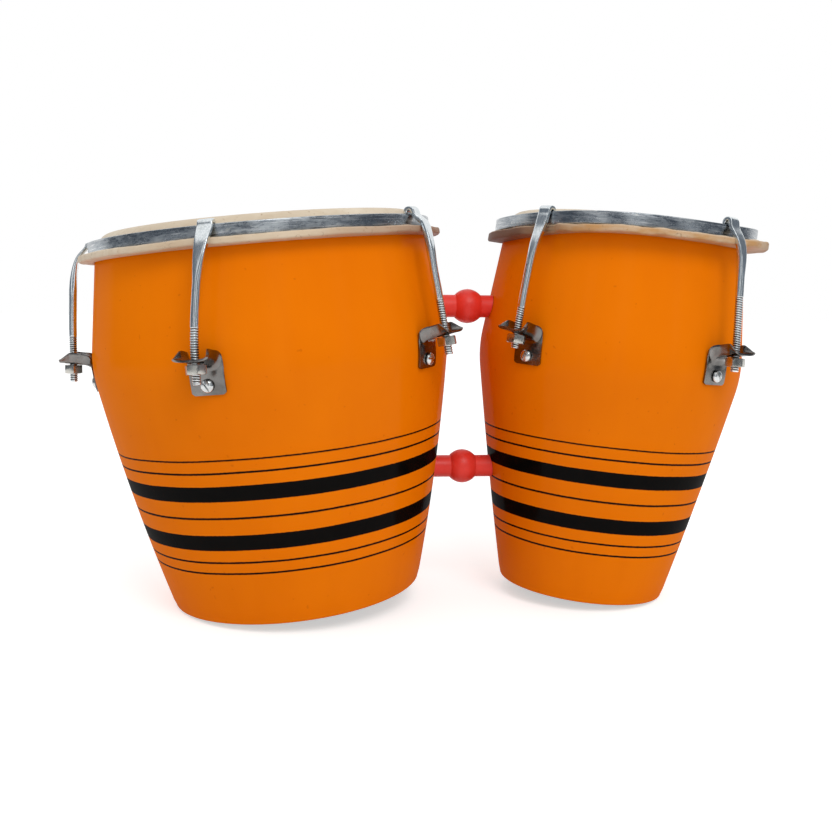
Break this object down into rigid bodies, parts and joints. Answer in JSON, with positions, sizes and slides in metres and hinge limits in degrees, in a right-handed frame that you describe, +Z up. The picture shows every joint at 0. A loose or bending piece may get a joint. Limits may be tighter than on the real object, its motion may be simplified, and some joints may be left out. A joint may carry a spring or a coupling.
{
  "type": "bongos",
  "caption": "Joined pair of unequal hand drums: orange wooden shells, rawhide heads, steel hoops, claw hooks and tuning nuts on lug brackets",
  "frame": {"origin": "on the ground under the middle of the pair's box", "axes": "+Z up, +X from the large drum to the small one, +Y away from the side that the picture shows"},
  "size_m": [0.459, 0.2618, 0.2595],
  "materials": {
    "orange_lacquered_wood": "gloss orange lacquer with turned-in black lines",
    "rawhide": "dry cream rawhide, matt",
    "plated_steel_hoop": "mottled galvanised steel",
    "bright_steel_hook": "bright drawn steel",
    "plated_nut": "plated steel, a little worn",
    "bracket_steel": "pressed sheet steel",
    "plated_screw": "plated slotted screw",
    "red_spacer": "satin red",
    "zinc_bolt": "zinc plated"
  },
  "bodies": {
    "shells": {"large_bracket_1": "bracket_steel", "large_bracket_2": "bracket_steel", "large_bracket_3": "bracket_steel", "large_bracket_4": "bracket_steel", "large_bracket_5": "bracket_steel", "large_bracket_screw_1": "plated_screw", "large_bracket_screw_2": "plated_screw", "large_bracket_screw_3": "plated_screw", "large_bracket_screw_4": "plated_screw", "large_bracket_screw_5": "plated_screw", "large_head_skin": "rawhide", "large_shell": "orange_lacquered_wood", "lower_spacer": "red_spacer", "lower_tie_bolt": "zinc_bolt", "lower_tie_nut": "zinc_bolt", "lower_tie_washer_large": "zinc_bolt", "lower_tie_washer_small": "zinc_bolt", "small_bracket_1": "bracket_steel", "small_bracket_2": "bracket_steel", "small_bracket_3": "bracket_steel", "small_bracket_4": "bracket_steel", "small_bracket_screw_1": "plated_screw", "small_bracket_screw_2": "plated_screw", "small_bracket_screw_3": "plated_screw", "small_bracket_screw_4": "plated_screw", "small_head_skin": "rawhide", "small_shell": "orange_lacquered_wood", "upper_spacer": "red_spacer", "upper_tie_bolt": "zinc_bolt", "upper_tie_nut": "zinc_bolt", "upper_tie_washer_large": "zinc_bolt", "upper_tie_washer_small": "zinc_bolt"},
    "large_tension": {"large_rim_hoop": "plated_steel_hoop", "large_flesh_hoop": "plated_steel_hoop", "large_hook_1": "bright_steel_hook", "large_hook_2": "bright_steel_hook", "large_hook_3": "bright_steel_hook", "large_hook_4": "bright_steel_hook", "large_hook_5": "bright_steel_hook"},
    "large_tuning_nut_1": {"large_tuning_nut_1": "plated_nut"},
    "large_tuning_nut_2": {"large_tuning_nut_2": "plated_nut"},
    "large_tuning_nut_3": {"large_tuning_nut_3": "plated_nut"},
    "large_tuning_nut_4": {"large_tuning_nut_4": "plated_nut"},
    "large_tuning_nut_5": {"large_tuning_nut_5": "plated_nut"},
    "small_tension": {"small_rim_hoop": "plated_steel_hoop", "small_flesh_hoop": "plated_steel_hoop", "small_hook_1": "bright_steel_hook", "small_hook_2": "bright_steel_hook", "small_hook_3": "bright_steel_hook", "small_hook_4": "bright_steel_hook"},
    "small_tuning_nut_1": {"small_tuning_nut_1": "plated_nut"},
    "small_tuning_nut_2": {"small_tuning_nut_2": "plated_nut"},
    "small_tuning_nut_3": {"small_tuning_nut_3": "plated_nut"},
    "small_tuning_nut_4": {"small_tuning_nut_4": "plated_nut"}
  },
  "joints": [
    {"name": "large_tension_slide", "type": "slide", "parent": "shells", "child": "large_tension", "axis": [0.0995, 0, -0.995], "range_m": [-0.0025, 0.0025], "deforming": ["large_head_skin"]},
    {"name": "large_tuning_nut_1_turn", "type": "hinge", "parent": "shells", "child": "large_tuning_nut_1", "pos_m": [-0.22208, 0, 0.15303], "axis": [0.0051, 0, 1], "range_deg": [-640, 640]},
    {"name": "large_tuning_nut_2_turn", "type": "hinge", "parent": "shells", "child": "large_tuning_nut_2", "pos_m": [-0.13413, -0.12166, 0.16182], "axis": [-0.0668, 0.0994, 0.9928], "range_deg": [-640, 640]},
    {"name": "large_tuning_nut_3_turn", "type": "hinge", "parent": "shells", "child": "large_tuning_nut_3", "pos_m": [0.00819, -0.07519, 0.17605], "axis": [-0.1831, 0.0614, 0.9812], "range_deg": [-640, 640]},
    {"name": "large_tuning_nut_4_turn", "type": "hinge", "parent": "shells", "child": "large_tuning_nut_4", "pos_m": [0.00819, 0.07519, 0.17605], "axis": [-0.1831, -0.0614, 0.9812], "range_deg": [-640, 640]},
    {"name": "large_tuning_nut_5_turn", "type": "hinge", "parent": "shells", "child": "large_tuning_nut_5", "pos_m": [-0.13413, 0.12166, 0.16182], "axis": [-0.0668, -0.0994, 0.9928], "range_deg": [-640, 640]},
    {"name": "small_tension_slide", "type": "slide", "parent": "shells", "child": "small_tension", "axis": [-0.0946, 0, -0.9955], "range_m": [-0.0025, 0.0025], "deforming": ["small_head_skin"]},
    {"name": "small_tuning_nut_1_turn", "type": "hinge", "parent": "shells", "child": "small_tuning_nut_1", "pos_m": [0.053, -0.06268, 0.17698], "axis": [0.157, 0.0497, 0.9864], "range_deg": [-641, 641]},
    {"name": "small_tuning_nut_2_turn", "type": "hinge", "parent": "shells", "child": "small_tuning_nut_2", "pos_m": [0.18296, -0.08723, 0.16462], "axis": [0.0539, 0.0692, 0.9961], "range_deg": [-641, 641]},
    {"name": "small_tuning_nut_3_turn", "type": "hinge", "parent": "shells", "child": "small_tuning_nut_3", "pos_m": [0.21103, 0.06268, 0.16196], "axis": [0.0317, -0.0497, 0.9983], "range_deg": [-641, 641]},
    {"name": "small_tuning_nut_4_turn", "type": "hinge", "parent": "shells", "child": "small_tuning_nut_4", "pos_m": [0.08107, 0.08723, 0.17431], "axis": [0.1347, -0.0692, 0.9885], "range_deg": [-641, 641]}
  ],
  "couplings": [
    {"joint": "large_tuning_nut_1_turn", "follows": "large_tension_slide", "rad_per_m": 4463.4},
    {"joint": "large_tuning_nut_2_turn", "follows": "large_tension_slide", "rad_per_m": 4463.4},
    {"joint": "large_tuning_nut_3_turn", "follows": "large_tension_slide", "rad_per_m": 4463.4},
    {"joint": "large_tuning_nut_4_turn", "follows": "large_tension_slide", "rad_per_m": 4463.4},
    {"joint": "large_tuning_nut_5_turn", "follows": "large_tension_slide", "rad_per_m": 4463.4},
    {"joint": "small_tuning_nut_1_turn", "follows": "small_tension_slide", "rad_per_m": 4473.5},
    {"joint": "small_tuning_nut_2_turn", "follows": "small_tension_slide", "rad_per_m": 4473.5},
    {"joint": "small_tuning_nut_3_turn", "follows": "small_tension_slide", "rad_per_m": 4473.5},
    {"joint": "small_tuning_nut_4_turn", "follows": "small_tension_slide", "rad_per_m": 4473.5}
  ]
}
